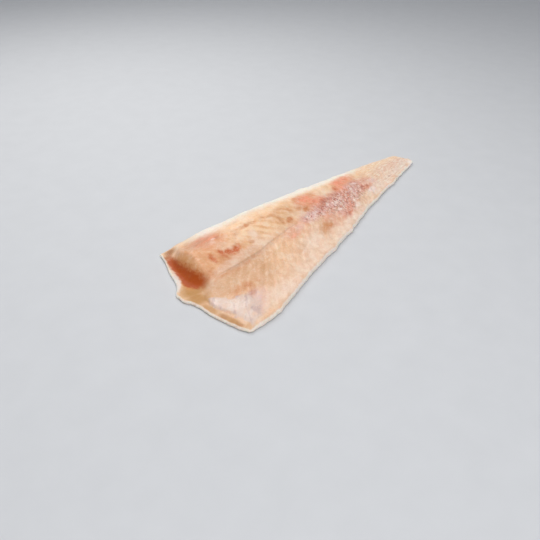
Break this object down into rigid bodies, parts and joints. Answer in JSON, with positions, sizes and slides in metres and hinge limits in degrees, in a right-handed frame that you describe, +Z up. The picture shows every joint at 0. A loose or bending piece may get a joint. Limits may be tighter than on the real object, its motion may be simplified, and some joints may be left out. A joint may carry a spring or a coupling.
{
  "type": "cod fillet",
  "caption": "Raw skinned cod fillet lying flat, with a thick rounded loin, a thin belly lobe, a midline seam and a tapering tail.",
  "frame": {"origin": "under the middle of the fillet, on the plane it rests on", "axes": "+X towards the tail, +Y towards the back edge, +Z up out of the flesh side"},
  "size_m": [0.2549, 0.0933, 0.0161],
  "materials": {
    "flesh": "moist, translucent, soft gloss"
  },
  "bodies": {
    "root": {"fillet": "flesh"}
  },
  "joints": []
}
